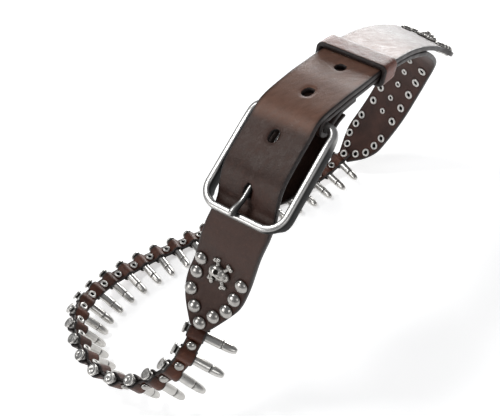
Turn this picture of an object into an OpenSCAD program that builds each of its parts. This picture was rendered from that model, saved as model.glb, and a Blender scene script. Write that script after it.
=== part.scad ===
// Studded leather belt, buckled into a ring that stands on its stud strip.
// Millimetres, +Z up. The origin is on the floor below the middle of the ring.
// Along the belt, s runs from the pointed tip of the billet, down through the buckle,
// round the stud strip and up the strap that holds the buckle.
// At every s the belt has its own axes: x across it, y along it, z out of its outer face.

/* [Straps] */
// Width of the two wide straps
strap_w = 40; // [39:0.5:41]
// Thickness of the strap with the prong holes
billet_t = 3.4; // [3.2:0.1:3.6]
// Thickness of the strap that holds the buckle
lining_t = 3; // [2.8:0.1:3.1]
// Length over which a strap narrows to the stud strip
taper_l = 32; // [28:1:36]
// Distance between the prong holes along the billet
hole_pitch = 33; // [30:0.5:33]
// Width of a prong hole, across the belt
hole_w = 6; // [5:0.5:6.5]
// Length of a prong hole, along the belt
hole_l = 8.5; // [8:0.5:10]

/* [Stud strip] */
// Number of cartridge-shaped studs in the strip
stud_n = 29; // [29:1:29]
// Length of a stud from its rim to its tip
stud_l = 36; // [34:0.5:37]
// Diameter of a stud's straight body
stud_d = 6.2; // [5.8:0.1:6.4]
// Diameter of a stud's rim
rim_d = 7.8; // [7:0.1:8]
// Width of the two thin bands that hold the studs
band_w = 12; // [11:0.5:13]
// Thickness of one band
band_t = 1.6; // [1.4:0.1:1.7]
// Distance from an end rivet of the strip to the stud next to it
end_gap = 9.5; // [9:0.5:10]

/* [Buckle] */
// Diameter of the round bar that the buckle is cast from
bar_d = 5.5; // [5:0.1:5.6]
// Width of the buckle over its sides
buckle_w = 58.5; // [56:0.5:60]
// Radius of the buckle's corners at the heel bar, on the middle of the bar
heel_corner_r = 6; // [5:0.5:6]
// Radius of the buckle's corners at the tip bar, on the middle of the bar
tip_corner_r = 11; // [8:0.5:12]
// Diameter of the prong's shank
prong_d = 3.4; // [3:0.1:3.6]
// Width of the prong's curl on the heel bar
curl_w = 6; // [5:0.5:6.5]

// Thickness of the leather underlay behind the buckle
underlay_t = 2; // [1.6:0.1:2.2]
// How far the underlay reaches past the heel bar, towards the tip bar
underlay_l = 52; // [36:1:53]

/* [Rivets] */
// Diameter of a large dome rivet
dome_d = 8.5; // [8:0.1:9]
// Diameter of a small dome rivet
small_d = 5.5; // [5:0.1:6]
// Diameter of the strip's own rivets
strip_rivet_d = 6.4; // [6:0.1:6.6]
// Outer diameter of the ring on the back of a large rivet
ring_d = 7; // [6.4:0.1:7.2]
// Distance between rivet rows along the buckle strap
row_pitch = 16; // [15:0.5:16.5]

/* [Keeper] */
// Width of the keeper along the belt
keeper_l = 16; // [14:1:18]
// Thickness of the keeper's leather
keeper_t = 2.6; // [2:0.1:3]
// Free space between the keeper and the straps in it
keeper_gap = 0.9; // [0.8:0.1:1]

/* [Hidden] */
$fn = 32;

// ---- where the buckle sits ------------------------------------------------------------------
// Middles of the two crossbars, and the direction from the near side of the belt to the far side
heel_at = [-18, -54, 184];
tip_at = [-70, -73, 151];
buckle_side = [-0.36, 0.93, 0.07];
buckle_u = unit(tip_at - heel_at);
buckle_v = unit(buckle_side - (buckle_side * buckle_u) * buckle_u);
buckle_n = cross(buckle_v, buckle_u);
buckle_l = norm(tip_at - heel_at);
bar_r = bar_d / 2;
// Height of the prong's middle above the line between the two bars
prong_rise = bar_r + prong_d / 2 + 0.05;
// Heights of the billet's middle over the heel bar and under the tip bar
heel_gap = 0.45;
over_heel = bar_r + heel_gap + lining_t + 0.3 + billet_t / 2;
under_tip = -(bar_r + 1.5 + billet_t / 2);

function unit(v) = v / norm(v);
function smooth(t) = let (u = min(1, max(0, t))) u * u * (3 - 2 * u);
// A point in the buckle's own axes: u towards the tip bar, n out of the belt
function on_buckle(u, n) = heel_at + u * buckle_u + n * buckle_n;
function station(p, w) = [p.x, p.y, p.z, w.x, w.y, w.z];

// ---- route of the belt ----------------------------------------------------------------------
// Each station is a point on the middle of the belt and its direction across the belt.
billet_route = [
  [175, 26, 122, -0.08, 0.99, 0.11],
  [146, 23, 144, -0.18, 0.97, 0.15],
  [115, 8, 163, -0.28, 0.94, 0.17],
  [82, -9, 178, -0.35, 0.92, 0.18],
  [48, -27, 188, -0.38, 0.91, 0.17],
  [16, -42, 192, -0.39, 0.9, 0.14],
  [-1, -49, 193, -0.38, 0.91, 0.11]
];
buckle_route = [
  for (p = [[0, over_heel], [14, 8.7], [28, 8.9], [41, 7.8], [50, 3.2], [56.5, -2.6], [buckle_l, under_tip]])
    station(on_buckle(p[0], p[1]), buckle_side)
];
near_route = [
  [-75, -70, 132, -0.38, 0.91, 0.12],
  [-83, -67, 110, -0.4, 0.9, 0.17],
  [-93, -66, 94, -0.43, 0.88, 0.21],
  [-102, -67, 80, -0.47, 0.85, 0.25]
];
strip_route = [
  [-111, -68, 66, -0.56, 0.72, 0.42],
  [-122, -67, 53, -0.57, 0.56, 0.6],
  [-133, -61, 42, -0.56, 0.38, 0.74],
  [-144, -53, 34, -0.54, 0.19, 0.82],
  [-154, -42, 30, -0.54, 0.03, 0.84],
  [-162, -29, 28, -0.54, -0.05, 0.84],
  [-167, -14, 28, -0.53, -0.03, 0.85],
  [-168, 1, 28, -0.5, 0.05, 0.86],
  [-167, 17, 27, -0.46, 0.18, 0.86],
  [-163, 32, 25, -0.45, 0.36, 0.81],
  [-156, 46, 22, -0.43, 0.58, 0.69],
  [-146, 57, 18, -0.37, 0.76, 0.54],
  [-133, 66, 14, -0.28, 0.87, 0.4],
  [-119, 72, 11, -0.2, 0.93, 0.29],
  [-89, 79, 7, -0.05, 0.99, 0.15],
  [-57, 80, 5.2, 0, 1, 0.03],
  [-9, 80, 5.2, 0, 1, 0],
  [39, 81, 5.2, 0, 1, 0.03],
  [69, 82, 6, -0.03, 0.99, 0.1],
  [100, 84, 11, -0.05, 0.97, 0.24]
];
strap_route = [
  [114, 83, 18, -0.03, 0.96, 0.27],
  [125, 79, 29, -0.03, 0.96, 0.29],
  [134, 74, 42, -0.04, 0.95, 0.31],
  [144, 63, 69, -0.07, 0.94, 0.32],
  [149, 53, 95, -0.11, 0.94, 0.3],
  [149, 46, 110, -0.14, 0.95, 0.27],
  [146, 37, 126, -0.18, 0.95, 0.24],
  [136, 26, 140, -0.22, 0.95, 0.21]
];
route = concat(billet_route, buckle_route, near_route, strip_route, strap_route);
first_apex = len(billet_route) + len(buckle_route) + len(near_route) - 1;
second_apex = first_apex + len(strip_route) + 1;

// ---- smooth curve through the stations ------------------------------------------------------
steps = 10;
function spline(p, i, t) =
  let (a = p[max(i - 1, 0)], b = p[i], c = p[i + 1], d = p[min(i + 2, len(p) - 1)])
  0.5 * (2 * b + (c - a) * t + (2 * a - 5 * b + 4 * c - d) * t * t + (3 * b - a - 3 * c + d) * t * t * t);
function curve(p) = concat(
  [for (i = [0:len(p) - 2], k = [0:steps - 1]) spline(p, i, k / steps)], [p[len(p) - 1]]);
function point(q) = [q[0], q[1], q[2]];
function lengths(c) = [
  for (i = 0, s = 0; i < len(c); i = i + 1, s = i < len(c) ? s + norm(point(c[i]) - point(c[i - 1])) : s) s];
// Six lookup tables, one for each value of a station, over the length along the curve
function tables(c) = let (s = lengths(c)) [for (k = [0:5]) [for (i = [0:len(c) - 1]) [s[i], c[i][k]]]];
function at(tab, s) = [lookup(s, tab[0]), lookup(s, tab[1]), lookup(s, tab[2])];
function across(tab, s) = [lookup(s, tab[3]), lookup(s, tab[4]), lookup(s, tab[5])];
function along(tab, s) = unit(at(tab, s + 2) - at(tab, s - 2));
// Axes of the belt at s: [middle, across, along, out]
function axes(tab, s) =
  let (y = along(tab, s), w = across(tab, s), x = unit(w - (w * y) * y)) [at(tab, s), x, y, cross(x, y)];

belt_curve = curve(route);
belt = tables(belt_curve);
belt_s = lengths(belt_curve);
apex_1 = belt_s[first_apex * steps];
apex_2 = belt_s[second_apex * steps];
// Stud positions along the belt, and the strip rivets halfway between them
pitch = (apex_2 - apex_1 - 2 * end_gap) / (stud_n - 1);
stud_s = [for (i = [0:stud_n - 1]) apex_1 + end_gap + i * pitch];
strip_rivet_s = [for (i = [0:stud_n - 2]) apex_1 + end_gap + (i + 0.5) * pitch];

// ---- strap that holds the buckle ------------------------------------------------------------
// It runs on under the billet, wraps the heel bar and is riveted back to itself.
lining_drop = billet_t / 2 + 0.3 + lining_t / 2;
heel_s = belt_s[len(billet_route) * steps];
wrap_r = bar_r + heel_gap + lining_t / 2;
fold_l = 34;
fold_gap = lining_t + 0.4;
// Under the billet the strap lies against it, and further from the buckle it falls slowly away.
function under(d) =
  let (f = axes(belt, heel_s - d)) station(f[0] - (lining_drop + 0.8 * smooth((d - 100) / 60)) * f[3], f[1]);
function fold(d) =
  let (f = axes(belt, heel_s - d), gap = fold_gap + (2 * wrap_r - fold_gap) * smooth((20 - d) / 20))
  station(f[0] - (lining_drop + gap) * f[3], buckle_v);
// Stations of the strip's last stretch that the strap's curve starts from
lead_in = [for (i = [len(strip_route) - 3:len(strip_route) - 1]) strip_route[i]];
up_route = concat(lead_in, strap_route, [for (d = [150:-20:70]) under(d)],
  [for (d = [56:-8:8]) under(d)]);
wrap = [for (a = [105:-15:-90]) station(on_buckle(wrap_r * cos(a), wrap_r * sin(a)), buckle_v)];
lining_path = concat(curve(up_route), wrap, [for (d = [3:3:fold_l]) fold(d)]);
lining = tables(lining_path);
lining_s = lengths(lining_path);
// Underlay: a leather tab tacked below the fold, which runs on behind the buckle
underlay_top = 0.7;
underlay_down = wrap_r + (lining_t + underlay_t) / 2 + underlay_top;
function below_fold(d) =
  let (f = axes(belt, heel_s - d), down = (lining_t + underlay_t) / 2 + underlay_top, p = fold(d))
  station(point(p) - down * f[3], buckle_v);
underlay_path = concat([for (d = [21:-6:3]) below_fold(d)],
  [for (u = [6:9:33]) station(on_buckle(u, -underlay_down), buckle_v)],
  [station(on_buckle(underlay_l, 0.5 - underlay_down), buckle_v)]);
underlay_curve = curve(underlay_path);
underlay = tables(underlay_curve);
underlay_s = lengths(underlay_curve);
underlay_end = underlay_s[len(underlay_curve) - 1];
lining_apex = lining_s[len(lead_in) * steps];
wrap_s = lining_s[(len(up_route) - 1) * steps];
lining_end = lining_s[len(lining_path) - 1];

// ---- shapes and places ----------------------------------------------------------------------
strap_end = 3.8;
apex_half = 6;
tip_l = 34;
// Half the width of a strap at a distance d from its last rivet
function strap_half(d) =
  apex_half + (strap_w / 2 - apex_half) * sin(90 * min(1, max(0, (d + strap_end) / taper_l)));
// Half the width of the billet's pointed tip at a distance d from its end
function tip_half(d) = max(1.5, strap_w / 2 * pow(sin(90 * min(1, d / tip_l)), 0.9));
// Places of the rivets in the point of a strap: distance from the last rivet, half their spread
point_rivets = [[0, 0], [8.1, 6.7], [16.6, 12.9], [27.1, 14.2], [37.6, 14.8]];
skull_at = 36.6;
tip_rivets = [[9, 0], [16, 6.4], [25, 11.6], [35.5, 14], [46, 14.8]];
tip_skull_at = 36;
row_first = 57.6;
row_half = 13.2;
row_n = 5;
// How far the strip lies inside the strap at its two ends
strip_drop = billet_t / 2 + 0.3 + band_t;
function drop(s) =
  let (d = min(s - apex_1, apex_2 - s)) -strip_drop * (1 - smooth((d - 3) / 23));

// Cross-section of a strap, in [across, out]
function section(half, t) = let (c = 0.6) [
  [-half + c, -t / 2], [half - c, -t / 2], [half, -t / 2 + c], [half, t / 2 - c],
  [half - c, t / 2], [-half + c, t / 2], [-half, t / 2 - c], [-half, -t / 2 + c]];
function ring(f, outline) = [for (p = outline) f[0] + p.x * f[1] + p.y * f[3]];
// Closed solid through a list of rings
module skin(rings) {
  n = len(rings[0]);
  last = (len(rings) - 1) * n;
  polyhedron(
    [for (r = rings) each r],
    concat(
      [for (i = [0:len(rings) - 2], j = [0:n - 1])
        [i * n + j, (i + 1) * n + (j + 1) % n, i * n + (j + 1) % n]],
      [for (i = [0:len(rings) - 2], j = [0:n - 1]) [i * n + j, (i + 1) * n + j, (i + 1) * n + (j + 1) % n]],
      [for (j = [1:n - 2]) [0, j, j + 1]],
      [for (j = [1:n - 2]) [last, last + j + 1, last + j]]));
}
module in_axes(f) {
  multmatrix([
    [f[1].x, f[2].x, f[3].x, f[0].x],
    [f[1].y, f[2].y, f[3].y, f[0].y],
    [f[1].z, f[2].z, f[3].z, f[0].z]]) children();
}
module place(tab, s, x = 0, z = 0) {
  in_axes(axes(tab, s)) translate([x, 0, z]) children();
}
module in_buckle() {
  in_axes([heel_at, buckle_v, buckle_u, buckle_n]) children();
}
// Puts its child at each rivet of a strap's point, the apex rivet first
module at_point(tab, s0, side, places, first = 0) {
  for (i = [first:len(places) - 1], e = [-1, 1])
    if (places[i][1] > 0 || e > 0) place(tab, s0 + side * places[i][0], e * places[i][1]) children();
}
module at_rows(xs) {
  for (i = [0:row_n - 1], x = xs) place(lining, lining_apex + row_first + i * row_pitch, x) children();
}

// ---- metal pieces, each standing on z = 0 ---------------------------------------------------
post_r = 1.5;
small_post_r = 1.1;
fit = 0.05;
cup_h = 1.2;
// Dome head with its post, for leather of thickness t
module dome(d, t, r = post_r) {
  r0 = d / 2;
  rotate_extrude() polygon(concat(
    [[0, 0], [r0 - 0.3, 0], [r0, 0.3]],
    [for (a = [10:16:90]) [r0 * cos(a), 0.4 + 0.3 * d * sin(a)]]));
  translate([0, 0, -t - cup_h + 0.3]) cylinder(h = t + cup_h, r = r);
}
// Open ring that closes a rivet on the inner face; it hangs below z = 0
module cup(d, r = post_r) {
  translate([0, 0, -cup_h]) rotate_extrude() polygon([
    [r + fit, 0.2], [r + 0.4, 0], [d / 2 - 0.5, 0], [d / 2, 0.5], [d / 2, cup_h - 0.2],
    [d / 2 - 0.2, cup_h], [r + fit, cup_h]]);
}
module post_hole(r = post_r) {
  cylinder(h = 20, r = r + fit, center = true);
}
module oval_cut() {
  for (e = [-1, 1])
    translate([0, e * (hole_l - hole_w) / 2, 0]) cylinder(h = 10, d = hole_w, center = true);
  cube([hole_w, hole_l - hole_w, 10], center = true);
}
// Cartridge-shaped stud, its rim towards +x
rim_x = 9.5;
module stud() {
  r = stud_d / 2;
  rotate([0, 90, 0]) translate([0, 0, rim_x - stud_l]) rotate_extrude() polygon(concat(
    [[0, 0]],
    [for (k = [0:5]) [0.9 + (r - 1.2) * sin(18 * k), 7.5 * k / 5]],
    [[r - 0.3, 11], [r - 0.1, 11.6], [r, 12.4], [r, 32.6], [r - 0.6, 33.2], [r - 0.6, 34],
     [rim_d / 2, 34.5], [rim_d / 2, 35.6], [rim_d / 2 - 0.4, 36], [r - 0.4, 36], [r - 0.6, 35.7],
     [1.5, 35.7], [1.2, 35.4], [0, 35.4]]) * [[1, 0], [0, stud_l / 36]]);
}

// ---- straps ---------------------------------------------------------------------------------
prong_hole_s = belt_s[(len(billet_route) + 4) * steps];
// Free swing of the prong, which the billet leaves room for
prong_swing = 2;
billet_stop = apex_1 + strap_end;
module billet_strap() {
  ss = concat([for (s = [0:2.5:40]) s], [for (s = [45:5:heel_s]) s],
    [for (s = [heel_s + 1:3:apex_1 - taper_l]) s],
    [for (k = [0:12]) billet_stop - taper_l + k * taper_l / 12]);
  color([0.27, 0.18, 0.15]) difference() {
    skin([for (s = ss) ring(axes(belt, s), section(min(tip_half(s), strap_half(apex_1 - s)), billet_t))]);
    at_point(belt, apex_1, -1, point_rivets) post_hole();
    at_point(belt, 0, 1, tip_rivets) post_hole();
    for (s = [apex_1 - skull_at, tip_skull_at]) place(belt, s) post_hole();
    for (k = [0:3]) place(belt, prong_hole_s - k * hole_pitch) oval_cut();
    for (a = [0:prong_swing / 2:prong_swing]) in_buckle() rotate([a, 0, 0]) prong_shank(0.25, 22, 56);
  }
}
module buckle_strap() {
  start = lining_apex - strap_end;
  ss = concat([for (k = [0:12]) start + k * taper_l / 12],
    [for (s = [start + taper_l + 6:6:wrap_s - 3]) s],
    [for (s = [wrap_s:1.2:wrap_s + 15]) s], [for (s = [wrap_s + 18:4:lining_end - 1]) s], [lining_end]);
  color([0.27, 0.18, 0.15]) difference() {
    skin([for (s = ss) ring(axes(lining, s), section(strap_half(s - lining_apex), lining_t))]);
    at_point(lining, lining_apex, 1, point_rivets) post_hole();
    at_rows([-row_half, row_half]) post_hole();
    at_rows([0]) post_hole(small_post_r);
    in_buckle() cube([curl_w + 1, 18, 22], center = true);
    at_folds() translate([0, 0, -9]) cylinder(h = 7, r = post_r + fit);
  }
}

// ---- stud strip -----------------------------------------------------------------------------
// The band's middle line beside a stud, as [distance along, height]: an arc over the stud
// and a foot that brings it down to the other band
loop_r = stud_d / 2 + 0.12 + band_t / 2;
flat_z = band_t / 2 + 0.02;
foot = [[3.9, 1.7], [4.7, 1.05], [5.6, flat_z]];
half_loop = concat([for (a = [18:18:54]) [loop_r * sin(a), loop_r * cos(a)]], foot);
loop = concat([for (i = [len(half_loop) - 1:-1:0]) [-half_loop[i][0], half_loop[i][1]]],
  [[0, loop_r]], half_loop);
band_reach = 4.2;
band_ends = [for (d = [-band_reach:2.6:3.6]) d];
band_line = concat(
  [for (d = band_ends) [apex_1 + d, flat_z]],
  [for (s = stud_s, p = loop) [s + p[0], p[1]]],
  [for (i = [len(band_ends) - 1:-1:0]) [apex_2 - band_ends[i], flat_z]]);
// side is 1 for the outer band and -1 for the inner one
module band(side) {
  pts = [for (p = band_line) let (f = axes(belt, p[0])) f[0] + (drop(p[0]) + side * p[1]) * f[3]];
  last = len(pts) - 1;
  rings = [for (i = [0:last])
    let (f = axes(belt, band_line[i][0]), y = unit(pts[min(i + 1, last)] - pts[max(i - 1, 0)]),
      z = unit(cross(f[1], y)), trim = band_line[i][1] < 1.2 ? 0.75 : band_line[i][1] < 2 ? 0.3 : 0,
      half = band_w / 2 - trim)
    [for (q = [[-half, -1], [half, -1], [half, 1], [-half, 1]])
      pts[i] + q[0] * f[1] + q[1] * band_t / 2 * z]];
  color([0.36, 0.2, 0.16]) difference() {
    skin(rings);
    for (s = concat([apex_1, apex_2], strip_rivet_s)) place(belt, s) post_hole();
  }
}
module strip_outer_band() {
  band(1);
}
module strip_inner_band() {
  band(-1);
}
near_studs = [for (i = [0:9]) i];
curl_studs = [for (i = [10:19]) i];
floor_studs = [for (i = [20:stud_n - 1]) i];
module studs(which) {
  color([0.62, 0.62, 0.6]) for (i = which) place(belt, stud_s[i], 0, drop(stud_s[i])) stud();
}
module studs_near() {
  studs(near_studs);
}
module studs_curl() {
  studs(curl_studs);
}
module studs_floor() {
  studs(floor_studs);
}
// A strip rivet's head and ring stand on short necks, clear of the loops beside them.
neck_h = 0.4;
module at_strip_rivets(z) {
  for (s = strip_rivet_s) place(belt, s, 0, drop(s) + z) children();
}
module strip_rivet_caps() {
  color([0.62, 0.62, 0.6]) at_strip_rivets(flat_z + band_t / 2 + 0.02) {
    cylinder(h = neck_h, r = 2);
    translate([0, 0, neck_h]) dome(strip_rivet_d, 2 * (flat_z + band_t / 2 + 0.02 + neck_h), post_r);
  }
}
module strip_rivet_rings() {
  color([0.62, 0.62, 0.6]) at_strip_rivets(-flat_z - band_t / 2 - 0.02) {
    difference() {
      translate([0, 0, -neck_h]) cylinder(h = neck_h, r = 2);
      post_hole();
    }
    translate([0, 0, -neck_h]) cup(strip_rivet_d);
  }
}

// ---- rivets of the straps -------------------------------------------------------------------
// The last rivet of a strap's point also holds the strip, so its post is longer.
apex_grip = billet_t / 2 + strip_drop + band_t + 0.04;
module billet_dome_rivets() {
  color([0.6, 0.6, 0.58]) {
    at_point(belt, apex_1, -1, point_rivets, 1) translate([0, 0, billet_t / 2]) dome(dome_d, billet_t);
    place(belt, apex_1, 0, billet_t / 2) dome(dome_d, apex_grip);
  }
}
module billet_rivet_rings() {
  color([0.6, 0.6, 0.58]) {
    at_point(belt, apex_1, -1, point_rivets, 1) translate([0, 0, -billet_t / 2]) cup(ring_d);
    place(belt, apex_1, 0, billet_t / 2 - apex_grip) cup(ring_d);
  }
}
module tip_dome_rivets() {
  color([0.6, 0.6, 0.58]) at_point(belt, 0, 1, tip_rivets)
    translate([0, 0, billet_t / 2]) dome(dome_d, billet_t);
}
module tip_rivet_rings() {
  color([0.6, 0.6, 0.58]) at_point(belt, 0, 1, tip_rivets) translate([0, 0, -billet_t / 2]) cup(ring_d);
}
module strap_dome_rivets() {
  color([0.6, 0.6, 0.58]) {
    at_point(lining, lining_apex, 1, point_rivets, 1) translate([0, 0, lining_t / 2]) dome(dome_d, lining_t);
    place(lining, lining_apex, 0, lining_t / 2) dome(dome_d, apex_grip);
    at_rows([-row_half, row_half]) translate([0, 0, lining_t / 2]) dome(dome_d, lining_t);
  }
}
module strap_rivet_rings() {
  color([0.6, 0.6, 0.58]) {
    at_point(lining, lining_apex, 1, point_rivets, 1) translate([0, 0, -lining_t / 2]) cup(ring_d);
    place(lining, lining_apex, 0, lining_t / 2 - apex_grip) cup(ring_d);
    at_rows([-row_half, row_half]) translate([0, 0, -lining_t / 2]) cup(ring_d);
  }
}
module strap_small_rivets() {
  color([0.6, 0.6, 0.58]) at_rows([0]) translate([0, 0, lining_t / 2]) dome(small_d, lining_t, small_post_r);
}
module strap_small_rings() {
  color([0.6, 0.6, 0.58]) at_rows([0]) translate([0, 0, -lining_t / 2]) cup(small_d - 0.5, small_post_r);
}

// ---- skull conchos --------------------------------------------------------------------------
module at_conchos(z) {
  place(belt, apex_1 - skull_at, 0, z) children();
  place(belt, tip_skull_at, 0, z) children();
}
// Skull over crossed bones, the top of the skull towards +x
module skull() {
  bone_l = 17;
  bone_r = 1.3;
  difference() {
    union() {
      translate([1.6, 0, -1.6]) sphere(r = 5.8);
      translate([-4, 0, 0]) cylinder(h = 3, r = 3.2);
      for (a = [-58, 58]) rotate([0, 0, a]) {
        translate([-bone_l / 2, 0, 0.9]) rotate([0, 90, 0]) cylinder(h = bone_l, r = bone_r);
        for (e = [-1, 1], k = [-1, 1]) translate([e * bone_l / 2, k * 1.1, 1.1]) sphere(r = 1.7);
      }
    }
    translate([0, 0, -5]) cube([40, 40, 10], center = true);
    for (e = [-1, 1]) translate([1.4, e * 2.5, 4]) sphere(r = 1.6);
    translate([-1.6, 0, 4]) sphere(r = 1);
    for (y = [-1.6, 0, 1.6]) translate([-6, y, 3.2]) cube([3.6, 0.4, 1.2], center = true);
    cylinder(h = 2.4, r = small_post_r + fit, center = true);
  }
}
module skull_conchos() {
  color([0.66, 0.66, 0.64]) at_conchos(billet_t / 2) skull();
}
module concho_screws() {
  color([0.55, 0.55, 0.53]) at_conchos(-billet_t / 2) {
    translate([0, 0, -0.9]) cylinder(h = 0.9, r = 3);
    cylinder(h = billet_t + 1.1, r = small_post_r);
  }
}

// ---- fold-back rivets, their heads pressed into the strap's leather -------------------------
fold_head_h = 0.8;
fold_rivet_d = 26;
module at_folds() {
  for (x = [-10, 10]) place(lining, wrap_s - fold_rivet_d, x) children();
}
module fold_rivets() {
  color([0.55, 0.55, 0.53]) at_folds() {
    cylinder(h = fold_head_h, d = ring_d);
    translate([0, 0, -lining_t / 2 - fold_gap - 0.9]) cylinder(h = lining_t / 2 + fold_gap + 1, r = post_r);
  }
}
module fold_rivet_caps() {
  color([0.55, 0.55, 0.53]) at_folds() translate([0, 0, -lining_t / 2 - fold_gap]) cup(ring_d);
}

// ---- underlay behind the buckle, with two tacks that are pressed into the fold ---------------
corner_l = 18;
function underlay_half(d) = strap_w / 2 + 1 - corner_l * (1 - sqrt(1 - pow(1 - min(1, d / corner_l), 2)));
module at_tacks() {
  for (x = [-13, 13]) place(underlay, 6, x) children();
}
module buckle_underlay() {
  ss = concat([for (s = [0:3:underlay_end - corner_l - 1]) s],
    [for (k = [0:8]) underlay_end - corner_l * pow(1 - k / 8, 2)]);
  color([0.27, 0.18, 0.15]) difference() {
    skin([for (s = ss) ring(axes(underlay, s), section(underlay_half(underlay_end - s), underlay_t))]);
    at_tacks() cylinder(h = 10, r = small_post_r + fit, center = true);
  }
}
module underlay_tacks() {
  color([0.55, 0.55, 0.53]) at_tacks() {
    translate([0, 0, -underlay_t / 2 - 0.8]) cylinder(h = 0.8, r = 2.4);
    translate([0, 0, -underlay_t / 2]) cylinder(h = underlay_t + underlay_top + 1.2, r = small_post_r);
  }
}

// ---- buckle ---------------------------------------------------------------------------------
half_w = (buckle_w - bar_d) / 2;
module corner(r, turn) {
  rotate([0, 0, turn]) rotate_extrude(angle = 90) translate([r, 0]) circle(d = bar_d);
}
module bar_x(l, y) {
  translate([-l / 2, y, 0]) rotate([0, 90, 0]) cylinder(h = l, d = bar_d);
}
module buckle_frame() {
  h = heel_corner_r;
  t = tip_corner_r;
  color([0.7, 0.7, 0.68]) in_buckle() {
    bar_x(2 * (half_w - h), 0);
    bar_x(2 * (half_w - t), buckle_l);
    for (e = [-1, 1]) translate([e * half_w, h, 0]) rotate([-90, 0, 0])
      cylinder(h = buckle_l - h - t, d = bar_d);
    translate([half_w - h, h, 0]) corner(h, -90);
    translate([-half_w + h, h, 0]) corner(h, 180);
    translate([half_w - t, buckle_l - t, 0]) corner(t, 0);
    translate([-half_w + t, buckle_l - t, 0]) corner(t, 90);
  }
}
curl_in = bar_r + 0.08;
curl_out = curl_in + 1.6;
// The shank's middle line, in the buckle's own axes
shank_from = [0, 3.2, 3.2];
shank_to = [0, buckle_l + 1, prong_rise];
// The shank between two places along the buckle, thicker by extra all round
module prong_shank(extra, u0, u1) {
  rise = atan2(shank_to.z - shank_from.z, shank_to.y - shank_from.y);
  translate(shank_from) rotate([-90 + rise, 0, 0]) translate([0, 0, u0 - shank_from.y])
    cylinder(h = (u1 - u0) / cos(rise), r = prong_d / 2 + extra);
}
module buckle_prong() {
  color([0.7, 0.7, 0.68]) in_buckle() {
    difference() {
      rotate([0, 90, 0]) cylinder(h = curl_w, r = curl_out, center = true);
      rotate([0, 90, 0]) cylinder(h = curl_w + 2, r = curl_in, center = true);
    }
    prong_shank(0, shank_from.y, shank_to.y);
    translate(shank_to) sphere(d = prong_d);
  }
}

// ---- keeper ---------------------------------------------------------------------------------
keeper_s = apex_1 - 211;
pack_t = billet_t + 0.3 + lining_t;
keeper_in = [strap_w + 2 * keeper_gap, pack_t + 2 * keeper_gap];
keeper_z = billet_t / 2 - pack_t / 2;
module rounded(size, r) {
  square([size.x - 2 * r, size.y], center = true);
  square([size.x, size.y - 2 * r], center = true);
  for (i = [-1, 1], j = [-1, 1]) translate([i * (size.x / 2 - r), j * (size.y / 2 - r)]) circle(r = r);
}
module at_keeper() {
  place(belt, keeper_s, 0, keeper_z) rotate([90, 0, 0]) children();
}
staple_w = 9;
staple_d = 1.2;
staple_y = -keeper_in.y / 2 - keeper_t - staple_d / 2;
module keeper_loop() {
  color([0.36, 0.2, 0.16]) at_keeper() difference() {
    linear_extrude(keeper_l, center = true) difference() {
      rounded([keeper_in.x + 2 * keeper_t, keeper_in.y + 2 * keeper_t], 3.5);
      rounded(keeper_in, 1);
    }
    for (e = [-1, 1]) translate([e * staple_w / 2, staple_y, 0]) rotate([-90, 0, 0])
      cylinder(h = 2, d = staple_d + 2 * fit);
  }
}
module keeper_staple() {
  color([0.6, 0.6, 0.58]) at_keeper() {
    translate([-staple_w / 2, staple_y, 0]) rotate([0, 90, 0]) cylinder(h = staple_w, d = staple_d);
    for (e = [-1, 1]) translate([e * staple_w / 2, staple_y, 0]) {
      sphere(d = staple_d);
      rotate([-90, 0, 0]) cylinder(h = 1.9, d = staple_d);
    }
  }
}

billet_strap();
buckle_strap();
strip_outer_band();
strip_inner_band();
studs_near();
studs_curl();
studs_floor();
strip_rivet_caps();
strip_rivet_rings();
billet_dome_rivets();
billet_rivet_rings();
tip_dome_rivets();
tip_rivet_rings();
strap_dome_rivets();
strap_rivet_rings();
strap_small_rivets();
strap_small_rings();
skull_conchos();
concho_screws();
fold_rivets();
fold_rivet_caps();
buckle_underlay();
underlay_tacks();
buckle_frame();
buckle_prong();
keeper_loop();
keeper_staple();
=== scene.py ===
import math

import bmesh
import bpy
import numpy as np
from mathutils import Matrix, Vector


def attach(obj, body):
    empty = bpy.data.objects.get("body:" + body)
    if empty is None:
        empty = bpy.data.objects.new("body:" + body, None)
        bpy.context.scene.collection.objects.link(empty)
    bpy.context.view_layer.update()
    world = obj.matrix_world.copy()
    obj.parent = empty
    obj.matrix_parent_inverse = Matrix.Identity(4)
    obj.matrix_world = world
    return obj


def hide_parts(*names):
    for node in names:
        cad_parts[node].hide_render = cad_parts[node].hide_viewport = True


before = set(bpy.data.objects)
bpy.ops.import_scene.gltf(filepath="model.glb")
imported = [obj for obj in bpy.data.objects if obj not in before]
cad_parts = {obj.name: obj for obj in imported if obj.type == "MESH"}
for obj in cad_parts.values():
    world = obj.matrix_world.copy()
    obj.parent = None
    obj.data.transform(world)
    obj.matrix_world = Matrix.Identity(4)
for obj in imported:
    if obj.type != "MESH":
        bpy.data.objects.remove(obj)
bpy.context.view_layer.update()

MM = 0.001

# ---- sizes, as in the CAD model -----------------------------------------------------------------
STRAP_W, BILLET_T, LINING_T, TAPER_L = 0.040, 0.0034, 0.003, 0.032
STRAP_END, APEX_HALF, TIP_L = 0.0038, 0.006, 0.034
HOLE_PITCH, HOLE_W, HOLE_L = 0.033, 0.006, 0.0085
STUD_N, STUD_R, STUD_L, RIM_R, RIM_X = 29, 0.0031, 0.036, 0.0039, 0.0095
BAND_W, BAND_T, END_GAP = 0.012, 0.0016, 0.0095
BAR_R, BUCKLE_W, HEEL_CORNER, TIP_CORNER = 0.00275, 0.0585, 0.006, 0.011
PRONG_R, CURL_W, PRONG_LEAN = 0.0017, 0.006, 0.0012
DOME_R, SMALL_R, STRIP_R, RING_R = 0.00425, 0.00275, 0.0032, 0.0036
KEEPER_AT, KEEPER_L, KEEPER_T, KEEPER_GAP = 0.211, 0.016, 0.0026, 0.0009
LAYER_GAP = 0.0003
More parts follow.
